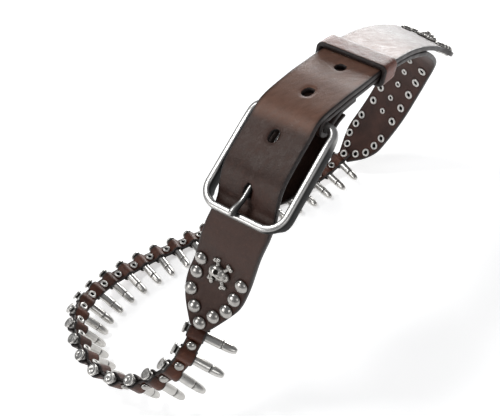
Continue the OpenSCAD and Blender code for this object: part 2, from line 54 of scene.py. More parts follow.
EDGE_R, RIM_W = 0.0009, 0.0028          # rounding of a cut edge, and the darkened rim beside it
LINING_GRIP, BILLET_GRIP = 0.0025, 0.003  # length of the rivets' posts in the two straps
POINT_RIVETS = [(0, 0), (0.0081, 0.0067), (0.0166, 0.0129), (0.0271, 0.0142), (0.0376, 0.0148)]
TIP_RIVETS = [(0.009, 0), (0.016, 0.0064), (0.025, 0.0116), (0.0355, 0.014), (0.046, 0.0148)]
SKULL_AT, TIP_SKULL_AT = 0.0366, 0.036
ROW_FIRST, ROW_PITCH, ROW_HALF, ROW_N = 0.0576, 0.016, 0.0132, 5

# ---- route of the belt: a point on its middle, then its direction across ------------------------
BILLET_ROUTE = [
    (0.175, 0.026, 0.122, -0.08, 0.99, 0.11),
    (0.146, 0.023, 0.144, -0.18, 0.97, 0.15),
    (0.115, 0.008, 0.163, -0.28, 0.94, 0.17),
    (0.082, -0.009, 0.178, -0.35, 0.92, 0.18),
    (0.048, -0.027, 0.188, -0.38, 0.91, 0.17),
    (0.016, -0.042, 0.192, -0.39, 0.9, 0.14),
    (-0.001, -0.049, 0.193, -0.38, 0.91, 0.11),
]
NEAR_ROUTE = [
    (-0.075, -0.07, 0.132, -0.38, 0.91, 0.12),
    (-0.083, -0.067, 0.11, -0.4, 0.9, 0.17),
    (-0.093, -0.066, 0.094, -0.43, 0.88, 0.21),
    (-0.102, -0.067, 0.08, -0.47, 0.85, 0.25),
]
STRIP_ROUTE = [
    (-0.111, -0.068, 0.066, -0.56, 0.72, 0.42),
    (-0.122, -0.067, 0.053, -0.57, 0.56, 0.6),
    (-0.133, -0.061, 0.042, -0.56, 0.38, 0.74),
    (-0.144, -0.053, 0.034, -0.54, 0.19, 0.82),
    (-0.154, -0.042, 0.03, -0.54, 0.03, 0.84),
    (-0.162, -0.029, 0.028, -0.54, -0.05, 0.84),
    (-0.167, -0.014, 0.028, -0.53, -0.03, 0.85),
    (-0.168, 0.001, 0.028, -0.5, 0.05, 0.86),
    (-0.167, 0.017, 0.027, -0.46, 0.18, 0.86),
    (-0.163, 0.032, 0.025, -0.45, 0.36, 0.81),
    (-0.156, 0.046, 0.022, -0.43, 0.58, 0.69),
    (-0.146, 0.057, 0.018, -0.37, 0.76, 0.54),
    (-0.133, 0.066, 0.014, -0.28, 0.87, 0.4),
    (-0.119, 0.072, 0.011, -0.2, 0.93, 0.29),
    (-0.089, 0.079, 0.007, -0.05, 0.99, 0.15),
    (-0.057, 0.08, 0.0052, 0, 1, 0.03),
    (-0.009, 0.08, 0.0052, 0, 1, 0),
    (0.039, 0.081, 0.0052, 0, 1, 0.03),
    (0.069, 0.082, 0.006, -0.03, 0.99, 0.1),
    (0.1, 0.084, 0.011, -0.05, 0.97, 0.24),
]
STRAP_ROUTE = [
    (0.114, 0.083, 0.018, -0.03, 0.96, 0.27),
    (0.125, 0.079, 0.029, -0.03, 0.96, 0.29),
    (0.134, 0.074, 0.042, -0.04, 0.95, 0.31),
    (0.144, 0.063, 0.069, -0.07, 0.94, 0.32),
    (0.149, 0.053, 0.095, -0.11, 0.94, 0.3),
    (0.149, 0.046, 0.11, -0.14, 0.95, 0.27),
    (0.146, 0.037, 0.126, -0.18, 0.95, 0.24),
    (0.136, 0.026, 0.14, -0.22, 0.95, 0.21),
]
HEEL_AT = np.array([-0.018, -0.054, 0.184])
TIP_AT = np.array([-0.070, -0.073, 0.151])
BUCKLE_SIDE = np.array([-0.36, 0.93, 0.07])


def unit(v):
    return np.asarray(v, float) / np.linalg.norm(v)


def smooth(t):
    u = min(1.0, max(0.0, t))
    return u * u * (3 - 2 * u)


BUCKLE_U = unit(TIP_AT - HEEL_AT)
BUCKLE_V = unit(BUCKLE_SIDE - (BUCKLE_SIDE @ BUCKLE_U) * BUCKLE_U)
BUCKLE_N = np.cross(BUCKLE_V, BUCKLE_U)
BUCKLE_L = float(np.linalg.norm(TIP_AT - HEEL_AT))
BUCKLE_AXES = (HEEL_AT, BUCKLE_V, BUCKLE_U, BUCKLE_N)
HEEL_GAP = 0.00045
OVER_HEEL = BAR_R + HEEL_GAP + LINING_T + LAYER_GAP + BILLET_T / 2
UNDER_TIP = -(BAR_R + 0.0015 + BILLET_T / 2)
WRAP_R = BAR_R + HEEL_GAP + LINING_T / 2


def on_buckle(u, n):
    return HEEL_AT + u * BUCKLE_U + n * BUCKLE_N


def station(p, w):
    return tuple(p) + tuple(w)


BUCKLE_ROUTE = [
    station(on_buckle(u, n), BUCKLE_SIDE)
    for u, n in [(0, OVER_HEEL), (0.014, 0.0087), (0.028, 0.0089), (0.041, 0.0078),
                 (0.050, 0.0032), (0.0565, -0.0026), (BUCKLE_L, UNDER_TIP)]
]


def curve(stations, steps=10):
    """Catmull-Rom curve through the stations."""
    p = np.array(stations, float)
    rows = []
    for i in range(len(p) - 1):
        a, b, c, d = p[max(i - 1, 0)], p[i], p[i + 1], p[min(i + 2, len(p) - 1)]
        for k in range(steps):
            t = k / steps
            rows.append(0.5 * (2 * b + (c - a) * t + (2 * a - 5 * b + 4 * c - d) * t ** 2
                               + (3 * b - a - 3 * c + d) * t ** 3))
    return np.array(rows + [p[-1]])


class Path:
    """A belt's middle line. At s it has axes: middle, x across, y along, z out of the outer face."""

    def __init__(self, rows):
        self.rows = np.array(rows, float)
        steps = np.linalg.norm(np.diff(self.rows[:, :3], axis=0), axis=1)
        self.s = np.concatenate([[0], np.cumsum(steps)])
        self.length = float(self.s[-1])

    def value(self, s, first):
        return np.array([np.interp(s, self.s, self.rows[:, first + k]) for k in range(3)])

    def axes(self, s, reach=0.002):
        y = unit(self.value(s + reach, 0) - self.value(s - reach, 0))
        w = self.value(s, 3)
        x = unit(w - (w @ y) * y)
        return self.value(s, 0), x, y, np.cross(x, y)


ROUTE = BILLET_ROUTE + BUCKLE_ROUTE + NEAR_ROUTE + STRIP_ROUTE + STRAP_ROUTE
BELT = Path(curve(ROUTE))
HEEL_S = BELT.s[len(BILLET_ROUTE) * 10]
PRONG_HOLE_S = BELT.s[(len(BILLET_ROUTE) + 4) * 10]
FIRST_APEX = len(BILLET_ROUTE) + len(BUCKLE_ROUTE) + len(NEAR_ROUTE) - 1
APEX_1 = BELT.s[FIRST_APEX * 10]
APEX_2 = BELT.s[(FIRST_APEX + len(STRIP_ROUTE) + 1) * 10]
PITCH = (APEX_2 - APEX_1 - 2 * END_GAP) / (STUD_N - 1)
STUD_S = [APEX_1 + END_GAP + i * PITCH for i in range(STUD_N)]
STRIP_RIVET_S = [APEX_1 + END_GAP + (i + 0.5) * PITCH for i in range(STUD_N - 1)]

LINING_DROP = BILLET_T / 2 + LAYER_GAP + LINING_T / 2
FOLD_GAP = LINING_T + 0.0004


def under(d):
    """Station of the buckle's strap where it lies under the billet, d before the heel bar."""
    f = BELT.axes(HEEL_S - d)
    return station(f[0] - (LINING_DROP + 0.0008 * smooth((d - 0.100) / 0.060)) * f[3], f[1])


def fold(d):
    f = BELT.axes(HEEL_S - d)
    gap = FOLD_GAP + (2 * WRAP_R - FOLD_GAP) * smooth((0.020 - d) / 0.020)
    return station(f[0] - (LINING_DROP + gap) * f[3], BUCKLE_V)


UP_ROUTE = (STRIP_ROUTE[-3:] + STRAP_ROUTE + [under(d * MM) for d in range(150, 69, -20)]
            + [under(d * MM) for d in range(56, 7, -8)])
WRAP = [station(on_buckle(WRAP_R * math.cos(math.radians(a)), WRAP_R * math.sin(math.radians(a))), BUCKLE_V)
        for a in range(105, -91, -15)]
UP_CURVE = curve(UP_ROUTE)
LINING = Path(list(UP_CURVE) + WRAP + [fold(d * MM) for d in range(3, 35, 3)])
UNDERLAY_T, UNDERLAY_TOP, UNDERLAY_L = 0.002, 0.0007, 0.052
UNDERLAY_N = -WRAP_R - LINING_T / 2 - UNDERLAY_TOP - UNDERLAY_T / 2


def below_fold(d):
    f = BELT.axes(HEEL_S - d)
    down = LINING_T / 2 + UNDERLAY_TOP + UNDERLAY_T / 2
    return station(np.array(fold(d)[:3]) - down * f[3], BUCKLE_V)


UNDERLAY = Path(curve([below_fold(d * MM) for d in (21, 15, 9, 3)]
                      + [station(on_buckle(u * MM, UNDERLAY_N), BUCKLE_V) for u in (6, 15, 24, 33)]
                      + [station(on_buckle(UNDERLAY_L, UNDERLAY_N + 0.0005), BUCKLE_V)]))
LINING_APEX = LINING.s[30]
WRAP_S = LINING.s[(len(UP_ROUTE) - 1) * 10]

STRIP_DROP = BILLET_T / 2 + LAYER_GAP + BAND_T


def drop(s):
    """How far the strip's middle lies inside the belt's middle, under the ends of the straps."""
    return -STRIP_DROP * (1 - smooth((min(s - APEX_1, APEX_2 - s) - 0.003) / 0.023))


def strap_half(d):
    swell = math.sin(math.pi / 2 * min(1.0, max(0.0, (d + STRAP_END) / TAPER_L)))
    return APEX_HALF + (STRAP_W / 2 - APEX_HALF) * swell


def tip_half(d):
    return max(0.0015, STRAP_W / 2 * math.sin(math.pi / 2 * min(1.0, max(0, d) / TIP_L)) ** 0.9)


# ---- materials ----------------------------------------------------------------------------------
class Nodes:
    """Small helper that builds one procedural material."""

    def __init__(self, name):
        self.mat = bpy.data.materials.new(name)
        self.mat.use_nodes = True
        self.tree = self.mat.node_tree
        self.shader = self.tree.nodes["Principled BSDF"]
        self.place = self.add("ShaderNodeTexCoord").outputs["Object"]

    def add(self, kind, **values):
        node = self.tree.nodes.new(kind)
        for key, value in values.items():
            setattr(node, key, value)
        return node

    def link(self, a, b):
        self.tree.links.new(a, b)

    def noise(self, scale, detail=4.0, rough=0.55, stretch=None, distort=0.0):
        node = self.add("ShaderNodeTexNoise")
        node.inputs["Scale"].default_value = scale
        node.inputs["Detail"].default_value = detail
        node.inputs["Roughness"].default_value = rough
        node.inputs["Distortion"].default_value = distort
        source = self.place
        if stretch:
            mapping = self.add("ShaderNodeMapping")
            mapping.inputs["Scale"].default_value = stretch
            self.link(source, mapping.inputs["Vector"])
            source = mapping.outputs["Vector"]
        self.link(source, node.inputs["Vector"])
        return node.outputs["Fac"]

    def cells(self, scale):
        node = self.add("ShaderNodeTexVoronoi", feature="DISTANCE_TO_EDGE")
        node.inputs["Scale"].default_value = scale
        self.link(self.place, node.inputs["Vector"])
        return node.outputs["Distance"]

    def ramp(self, fac, low, high, out_low=0.0, out_high=1.0):
        node = self.add("ShaderNodeMapRange", clamp=True)
        for key, value in (("From Min", low), ("From Max", high), ("To Min", out_low), ("To Max", out_high)):
            node.inputs[key].default_value = value
        self.link(fac, node.inputs["Value"])
        return node.outputs["Result"]

    def mix(self, fac, a, b):
        node = self.add("ShaderNodeMix", data_type="RGBA")
        for socket, value in ((node.inputs[0], fac), (node.inputs[6], a), (node.inputs[7], b)):
            if isinstance(value, (int, float)):
                socket.default_value = value
            elif isinstance(value, tuple):
                socket.default_value = value + (1,)
            else:
                self.link(value, socket)
        return node.outputs[2]

    def math(self, kind, a, b):
        node = self.add("ShaderNodeMath", operation=kind)
        for socket, value in ((node.inputs[0], a), (node.inputs[1], b)):
            if isinstance(value, (int, float)):
                socket.default_value = value
            else:
                self.link(value, socket)
        return node.outputs[0]

    def attribute(self, name):
        return self.add("ShaderNodeAttribute", attribute_name=name).outputs["Fac"]

    def bump(self, height, distance, strength=1.0, below=None):
        node = self.add("ShaderNodeBump")
        node.inputs["Strength"].default_value = strength
        node.inputs["Distance"].default_value = distance
        self.link(height, node.inputs["Height"])
        if below is not None:
            self.link(below, node.inputs["Normal"])
        return node.outputs["Normal"]

    def finish(self, color, rough, normal, **constants):
        self.link(color, self.shader.inputs["Base Color"])
        self.link(rough, self.shader.inputs["Roughness"])
        self.link(normal, self.shader.inputs["Normal"])
        for key, value in constants.items():
            self.shader.inputs[key.replace("_", " ")].default_value = value
        return self.mat


def leather_face(name, dark, mid, light, rough=(0.34, 0.50), grain=1.0, lit_tan=(0.16, 0.082, 0.057)):
    """Waxed, smooth-worn leather: cloudy colour, fine pores, long rub marks and darkened rims.

    Where the attribute tone is 1 the leather is painted a lighter tan, as painted light.
    """
    n = Nodes(name)
    clouds = n.noise(38, 5, 0.6, distort=0.4)
    fibres = n.noise(260, 4, 0.6, stretch=(0.5, 1.6, 1.6))
    pores = n.cells(1500)
    specks = n.noise(1900, 2, 0.7)
    color = n.mix(n.ramp(clouds, 0.36, 0.66), dark, mid)
    color = n.mix(n.ramp(fibres, 0.52, 0.80, 0.0, 0.55), color, light)
    # painted light: the lighter tan laid where the tone attribute is high
    pale = n.mix(n.ramp(fibres, 0.35, 0.75), lit_tan, tuple(1.35 * c for c in lit_tan))
    pale = n.mix(n.ramp(clouds, 0.45, 0.75, 0.0, 0.4), pale, tuple(0.6 * c for c in lit_tan))
    color = n.mix(n.attribute("tone"), color, pale)
    color = n.mix(n.ramp(specks, 0.60, 0.78, 0.0, 0.35), color, tuple(0.55 * c for c in dark))
    edge = n.attribute("rim")
    darkened = n.math("MULTIPLY", edge, n.ramp(clouds, 0.2, 0.7, 0.55, 0.95))
    color = n.mix(darkened, color, tuple(0.42 * c for c in dark))
    roughness = n.ramp(n.math("ADD", n.math("MULTIPLY", fibres, 0.6), n.math("MULTIPLY", clouds, 0.4)),
                       0.38, 0.64, rough[0], rough[1])
    creases = n.bump(n.ramp(n.noise(120, 5, 0.65, stretch=(1, 2.2, 2.2)), 0.3, 0.7), 0.00025 * grain, 0.35)
    skin = n.bump(n.ramp(pores, 0.0, 0.12), 0.00006 * grain, 0.35, creases)
    fine = n.bump(specks, 0.00003 * grain, 0.4, skin)
    return n.finish(color, roughness, fine, Specular_IOR_Level=0.36, Specular_Tint=(1.0, 0.90, 0.84, 1.0))


def leather_edge(name, dark, light):
    """Cut edge, burnished dark, with the fibre layers showing through where it is rubbed."""
    n = Nodes(name)
    layers = n.noise(900, 5, 0.7)
    wear = n.noise(160, 4, 0.6)
    color = n.mix(n.ramp(layers, 0.35, 0.7), dark, light)
    color = n.mix(n.ramp(wear, 0.55, 0.75, 0.0, 0.6), color, tuple(min(1, 1.7 * c) for c in light))
    roughness = n.ramp(wear, 0.3, 0.7, 0.36, 0.6)
    rough_fibre = n.bump(layers, 0.0002, 0.6)
    return n.finish(color, roughness, rough_fibre, Specular_IOR_Level=0.4)


def leather_inside(name, dark, light):
    """Flesh side of the leather: a short, matt nap."""
    n = Nodes(name)
    clouds = n.noise(55, 5, 0.6)
    nap = n.noise(1300, 5, 0.75)
    color = n.mix(n.ramp(clouds, 0.3, 0.7), dark, light)
    color = n.mix(n.ramp(nap, 0.5, 0.75, 0.0, 0.5), color, tuple(min(1, 1.5 * c) for c in light))
    color = n.mix(n.math("MULTIPLY", n.attribute("rim"), 0.6), color, tuple(0.5 * c for c in dark))
    roughness = n.ramp(nap, 0.3, 0.7, 0.75, 0.95)
    pile = n.bump(nap, 0.00025, 0.7)
    return n.finish(color, roughness, pile, Sheen_Weight=0.15, Sheen_Roughness=0.5, Specular_IOR_Level=0.25)


def antique_metal(name, bright, dark, rough=(0.16, 0.34), tarnish=0.5):
    """Nickel plate, bright where it is rubbed and dark with random tarnish clouds; a per-vertex mark darkens
    it further, as tarnish in the recesses and as painted shade on walls, undersides and flanks.
    """
    n = Nodes(name)
    clouds = n.noise(190, 5, 0.62)
    spots = n.noise(1100, 4, 0.7)
    scratches = n.noise(900, 3, 0.6, stretch=(0.2, 2.5, 2.5))
    # per-vertex darkening mark: tarnish in the recesses, and painted shade on walls, undersides and flanks
    tarnish_and_shade = n.attribute("tarnish_and_shade")
    flecks = n.ramp(spots, 0.62, 0.8, 0.0, 0.10 * tarnish)
    stain = n.math("ADD", n.ramp(clouds, 0.50, 0.80, 0.0, 0.7 * tarnish), flecks)
    color = n.mix(n.math("MAXIMUM", tarnish_and_shade, stain), bright, dark)
    roughness = n.math("ADD", n.ramp(clouds, 0.35, 0.7, rough[0], rough[1]),
                       n.math("MULTIPLY", tarnish_and_shade, 0.25))
    pits = n.bump(n.ramp(spots, 0.35, 0.7), 0.00005, 0.05)
    lines = n.bump(scratches, 0.00003, 0.08, pits)
    return n.finish(color, roughness, lines, Metallic=1.0)


BILLET_FACE = leather_face("billet_face", (0.026, 0.0105, 0.0075), (0.046, 0.0195, 0.0140),
                           (0.085, 0.040, 0.029))
STRAP_FACE = leather_face("strap_face", (0.026, 0.013, 0.010), (0.050, 0.025, 0.018), (0.10, 0.054, 0.038))
STRIP_FACE = leather_face("strip_face", (0.035, 0.0105, 0.006), (0.105, 0.032, 0.017), (0.19, 0.072, 0.040),
                          grain=1.4)
KEEPER_FACE = leather_face("keeper_face", (0.08, 0.024, 0.016), (0.19, 0.060, 0.040), (0.28, 0.11, 0.075))
EDGE = leather_edge("burnished_edge", (0.008, 0.006, 0.006), (0.035, 0.024, 0.021))
INSIDE = leather_inside("flesh_side", (0.022, 0.011, 0.009), (0.060, 0.028, 0.021))
NICKEL = antique_metal("stud_nickel", (0.56, 0.545, 0.52), (0.03, 0.028, 0.026),
                       rough=(0.26, 0.36), tarnish=0.3)
RIVET = antique_metal("rivet_nickel", (0.40, 0.385, 0.365), (0.03, 0.028, 0.026),
                      rough=(0.20, 0.34), tarnish=0.6)
# the near-black dark colour is the painted shade in the eyelets' bores
EYELET = antique_metal("eyelet_nickel", (0.60, 0.585, 0.56), (0.006, 0.006, 0.006),
                       rough=(0.34, 0.46), tarnish=0.2)
# the near-black dark colour paints the shade and dark reflection on the buckle's walls
BUCKLE = antique_metal("buckle_nickel", (0.54, 0.53, 0.515), (0.010, 0.010, 0.010),
                       rough=(0.30, 0.38), tarnish=0.25)
SILVER = antique_metal("concho_silver", (0.50, 0.48, 0.45), (0.025, 0.022, 0.02),
                       rough=(0.22, 0.38), tarnish=0.6)


# ---- mesh helpers -------------------------------------------------------------------------------
def piece(name, verts, faces, mats, slots=None, marks=None, mark="rim"):
    """A smooth-shaded mesh object; marks is one number per vertex, kept as a named attribute."""
    mesh = bpy.data.meshes.new(name)
    mesh.from_pydata([tuple(v) for v in verts], [], faces)
    for mat in mats:
        mesh.materials.append(mat)
    if slots is not None:
        mesh.polygons.foreach_set("material_index", slots)
    mesh.polygons.foreach_set("use_smooth", [True] * len(faces))
    layer = mesh.attributes.new(mark, "FLOAT", "POINT")
    layer.data.foreach_set("value", [0.0] * len(verts) if marks is None else list(marks))
    bm = bmesh.new()
    bm.from_mesh(mesh)
    bmesh.ops.recalc_face_normals(bm, faces=bm.faces)
    bm.to_mesh(mesh)
    bm.free()
    obj = bpy.data.objects.new(name, mesh)
    bpy.context.scene.collection.objects.link(obj)
    return obj


def fix(obj, body, *nodes, slot):
    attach(obj, body)
    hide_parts(*nodes)


def local(f, x, y, z):
    return f[0] + x * f[1] + y * f[2] + z * f[3]


def at(path, s, x=0.0, z=0.0):
    """Axes at a place on the belt, moved across and outwards."""
    f = path.axes(s)
    return (local(f, x, 0, z), f[1], f[2], f[3])


def tube_faces(rings, around, closed=False):
    """Quads between successive rings of a sweep, and the column that each one is in."""
    faces, columns = [], []
    for i in range(rings if closed else rings - 1):
        k = (i + 1) % rings
        for j in range(around):
            m = (j + 1) % around
            faces.append((i * around + j, i * around + m, k * around + m, k * around + j))
            columns.append(j)
    return faces, columns


def strap_outline(half, t, columns):
    """Rounded section of a strap as [x, z, rim, kind]; kind is 0 outside, 1 edge, 2 inside."""
    r = min(EDGE_R, half * 0.45)
    flat = half - r
    rows = []

    def corner(side, face, start):
        for k in range(1, 5):
            a = math.radians(start - 18 * k)
            rows.append((side * flat + r * math.cos(a), face * (t / 2 - r) + r * math.sin(a), 1.0, 1))

    for side, kind in ((1, 0), (-1, 2)):
        for k in range(columns + 1):
            x = side * (2 * flat * k / columns - flat)
            rows.append((x, side * t / 2, max(0.0, 1 - (half - abs(x)) / RIM_W), kind))
        corner(side, side, 90 * side)
        rows.append((side * half, 0, 1.0, 1))
        corner(side, -side, 0 if side > 0 else 180)
    return rows


def strap(name, path, stops, half_at, t, mats, press, tone=None, columns=40):
    """Leather strap swept along the path.

    press(s, x, kind) lifts or sinks its surface, and tone(s) paints light on the leather, making it lighter.
    """
    verts, marks, tones = [], [], []
    for s in stops:
        f = path.axes(s)
        outline = strap_outline(half_at(s), t, columns)
        kinds = [row[3] for row in outline]
        for x, z, rim, kind in outline:
            verts.append(local(f, x, 0, z + press(s, x, kind)))
            marks.append(rim)
            tones.append(tone(s) if tone else 0.0)
    around = len(kinds)
    faces, cols = tube_faces(len(stops), around)
    slots = [max(kinds[c], kinds[(c + 1) % around]) if {kinds[c], kinds[(c + 1) % around]} != {1, 2} else 1
             for c in cols]
    faces.append(tuple(range(around)))
    faces.append(tuple((len(stops) - 1) * around + k for k in range(around)))
    obj = piece(name, verts, faces, mats, slots + [1, 1], marks)
    layer = obj.data.attributes.new("tone", "FLOAT", "POINT")
    layer.data.foreach_set("value", tones)
    return obj


def carve(obj, cutters, own=False):
    """Cuts each cutter out of the piece; the cut walls take the cutter's own material."""
    for k, cutter in enumerate(cutters):
        mod = obj.modifiers.new("cut_%d" % k, "BOOLEAN")
        mod.operation, mod.solver, mod.object, mod.material_mode = "DIFFERENCE", "EXACT", cutter, "TRANSFER"
        mod.use_self = own
    graph = bpy.context.evaluated_depsgraph_get()
    mesh = bpy.data.meshes.new_from_object(obj.evaluated_get(graph))
    obj.modifiers.clear()
    old = obj.data
    obj.data = mesh
    bpy.data.meshes.remove(old)
    for cutter in cutters:
        data = cutter.data
        bpy.data.objects.remove(cutter)
        bpy.data.meshes.remove(data)


def prism(name, f, outline, low, high, mat):
    """Straight cutter: an outline in the x-y plane of the axes f, from low to high along z."""
    n = len(outline)
    verts = [local(f, x, y, z) for z in (low, high) for x, y in outline]
    faces, _ = tube_faces(2, n)
    faces += [tuple(range(n)), tuple(range(n, 2 * n))]
    return piece(name, verts, faces, [mat])


def oval(width, length, n=12):
    points = []
    for end in (1, -1):
        for k in range(n + 1):
            a = math.radians(180 * k / n + (0 if end > 0 else 180))
            points.append((width / 2 * math.cos(a), end * (length - width) / 2 + width / 2 * math.sin(a)))
    return points


def circle(r, n=24):
    return [(r * math.cos(2 * math.pi * k / n), r * math.sin(2 * math.pi * k / n)) for k in range(n)]


def lathe(places, profile, segments=28):
    """Copies of one turned shape. profile is [radius, height, cavity], the last a mark that darkens the
    metal as tarnish and painted shade; height runs along each place's z.
    """
    verts, faces, marks = [], [], []
    for f in places:
        rings = []
        for r, z, tarnish_and_shade in profile:
            if r < 1e-7:
                rings.append([len(verts)])
                verts.append(local(f, 0, 0, z))
                marks.append(tarnish_and_shade)
                continue
            rings.append([len(verts) + k for k in range(segments)])
            for x, y in circle(r, segments):
                verts.append(local(f, x, y, z))
                marks.append(tarnish_and_shade)
        for a, b in zip(rings, rings[1:]):
            for k in range(segments):
                m = (k + 1) % segments
                if len(a) == 1:
                    faces.append((a[0], b[m], b[k]))
                elif len(b) == 1:
                    faces.append((a[k], a[m], b[0]))
                else:
                    faces.append((a[k], a[m], b[m], b[k]))
    return verts, faces, marks


def turned(name, places, profile, mat):
    verts, faces, marks = lathe(places, profile)
    return piece(name, verts, faces, [mat], None, marks, "tarnish_and_shade")


def point_centres(s0, side, rivets):
    """[distance along, distance across] of the rivets in a strap's point."""
    return [(s0 + side * d, e * half) for d, half in rivets for e in ((1, -1) if half else (1,))]


def point_places(path, s0, side, rivets, t):
    """The same, as axes on the strap's outer face."""
    return [at(path, s, x, t / 2) for s, x in point_centres(s0, side, rivets)]


# ---- the billet ---------------------------------------------------------------------------------
def near_rivets(s, x, centres, r):
    """A faint ring-shaped press where a rivet's head grips the leather."""
    total = 0.0
    for cs, cx in centres:
        d = math.hypot(s - cs, x - cx)
        if d < 3 * r:
            total += math.exp(-((d - r) / 0.0009) ** 2)
    return -0.00018 * min(total, 1.0)


BILLET_CENTRES = point_centres(APEX_1, -1, POINT_RIVETS) + point_centres(0, 1, TIP_RIVETS)
PRONG_HOLES = [PRONG_HOLE_S - k * HOLE_PITCH for k in range(4)]


def billet_press(s, x, kind):
    """Dips round the rivets and holes, and the swell where the prong runs under the leather."""
    if kind == 1:
        return 0.0
    lift = near_rivets(s, x, BILLET_CENTRES, DOME_R) if kind == 0 else 0.0
    for hole in PRONG_HOLES:
        dy = max(0.0, abs(s - hole) - (HOLE_L - HOLE_W) / 2)
        d = math.hypot(x, dy) - HOLE_W / 2
        if kind == 0 and d < 0.005:
            lift -= 0.00045 * math.exp(-(max(d, 0) / 0.0011) ** 2)
    under_prong = (s - PRONG_HOLE_S) / 0.001
    width = math.exp(-(x / 0.0045) ** 2)
    lift += 0.0007 * width * math.exp(-((under_prong + 9) / 6) ** 2)
    lift -= 0.0006 * width * math.exp(-((under_prong - 7) / 3.5) ** 2)
    return lift


def billet_painted_light(s):
    """Painted light: lighter from the keeper to the bend over the heel bar, back to the leather's own colour
    inside the buckle.
    """
    return smooth((s - 0.09) / 0.05) * (1 - smooth((s - HEEL_S - 0.006) / 0.008))


def shank_axes(turn):
    """Axes with z along the prong's shank, turned up about the heel bar."""
    low, high = np.array([0.0032, 0.0032]), np.array([BUCKLE_L + 0.001, BAR_R + PRONG_R + 0.00005])
    c, s = math.cos(math.radians(turn)), math.sin(math.radians(turn))
    spin = [np.array([c * p[0] - s * p[1], s * p[0] + c * p[1]]) for p in (low, high)]
    start, end = (on_buckle(p[0], p[1]) for p in spin)
    z = unit(end - start)
    return (start, BUCKLE_V, np.cross(z, BUCKLE_V), z)


def frange(a, b, step):
    n = max(1, int(round((b - a) / step)))
    return [a + (b - a) * k / n for k in range(n + 1)]


def make_billet():
    stops = frange(0, 0.006, 0.0005)[:-1] + frange(0.006, APEX_1 + STRAP_END, 0.001)
    billet = strap("billet", BELT, stops, lambda s: min(tip_half(s), strap_half(APEX_1 - s)), BILLET_T,
                   [BILLET_FACE, EDGE, INSIDE], billet_press, billet_painted_light)
    cutters = [prism("hole", BELT.axes(s), oval(HOLE_W, HOLE_L), -0.006, 0.006, EDGE) for s in PRONG_HOLES]
    for turn in (0, 1, 2):
        cutters.append(prism("groove", shank_axes(turn), circle(PRONG_R + 0.00022), 0.021, 0.052, EDGE))
    carve(billet, cutters)
    fix(billet, "belt", "billet_strap", slot="billet_leather")


def row_stops():
    """Distances along the buckle's strap of its rows of rivets."""
    return [LINING_APEX + ROW_FIRST + k * ROW_PITCH for k in range(ROW_N)]


def make_buckle_strap():
    start = LINING_APEX - STRAP_END
    stops = frange(start, WRAP_S - 0.012, 0.0011)[:-1] + frange(WRAP_S - 0.012, LINING.length, 0.0006)
    centres = point_centres(LINING_APEX, 1, POINT_RIVETS)
    centres += [(s, x) for s in row_stops() for x in (-ROW_HALF, ROW_HALF)]

    def press(s, x, kind):
        return near_rivets(s, x, centres, DOME_R) if kind == 0 else -near_rivets(s, x, centres, RING_R)

    belt = strap("buckle_strap_leather", LINING, stops, lambda s: strap_half(s - LINING_APEX), LINING_T,
                 [STRAP_FACE, EDGE, INSIDE], press)
    half, reach = CURL_W / 2 + 0.0005, 0.009
    slot = prism("slot", BUCKLE_AXES, [(-half, -reach), (half, -reach), (half, reach), (-half, reach)],
                 -0.011, 0.011, EDGE)
    carve(belt, [slot], own=True)
    fix(belt, "belt", "buckle_strap", slot="strap_leather")


def make_underlay():
    """Leather tab behind the buckle, with a rounded free end and a slightly uneven surface."""
    corner = 0.018
    end = UNDERLAY.length

    def half(s):
        near = 1 - min(1.0, max(0.0, end - s) / corner)
        return STRAP_W / 2 + 0.001 - corner * (1 - math.sqrt(1 - near ** 2))

    stops = frange(0, end - corner, 0.0015)[:-1] + [end - corner * (1 - k / 14) ** 2 for k in range(15)]
    tab = strap("underlay_leather", UNDERLAY, stops, half, UNDERLAY_T, [STRAP_FACE, EDGE, INSIDE],
                lambda s, x, kind: 0.00012 * math.sin(s * 260 + x * 90) if kind != 1 else 0.0)
    fix(tab, "belt", "buckle_underlay", slot="strap_leather")


# ---- the stud strip -----------------------------------------------------------------------------
LOOP_R = STUD_R + 0.00012 + BAND_T / 2
FLAT_Z = BAND_T / 2 + 0.00002
FOOT = [(0.0039, 0.0017), (0.0047, 0.00105), (0.0056, FLAT_Z)]
HALF_LOOP = [(LOOP_R * math.sin(math.radians(a)), LOOP_R * math.cos(math.radians(a)))
             for a in (18, 36, 54)] + FOOT
LOOP = [(-y, z) for y, z in reversed(HALF_LOOP)] + [(0.0, LOOP_R)] + HALF_LOOP


def band_line():
    ends = [k * MM for k in (-4.2, -1.6, 1.0, 3.6)]
    line = [(APEX_1 + d, FLAT_Z) for d in ends]
    line += [(s + y, z) for s in STUD_S for y, z in LOOP]
    line += [(APEX_2 - d, FLAT_Z) for d in reversed(ends)]
    return line


def band_width(height):
    return BAND_W / 2 - 0.0009 * smooth((0.0026 - height) / 0.0016)


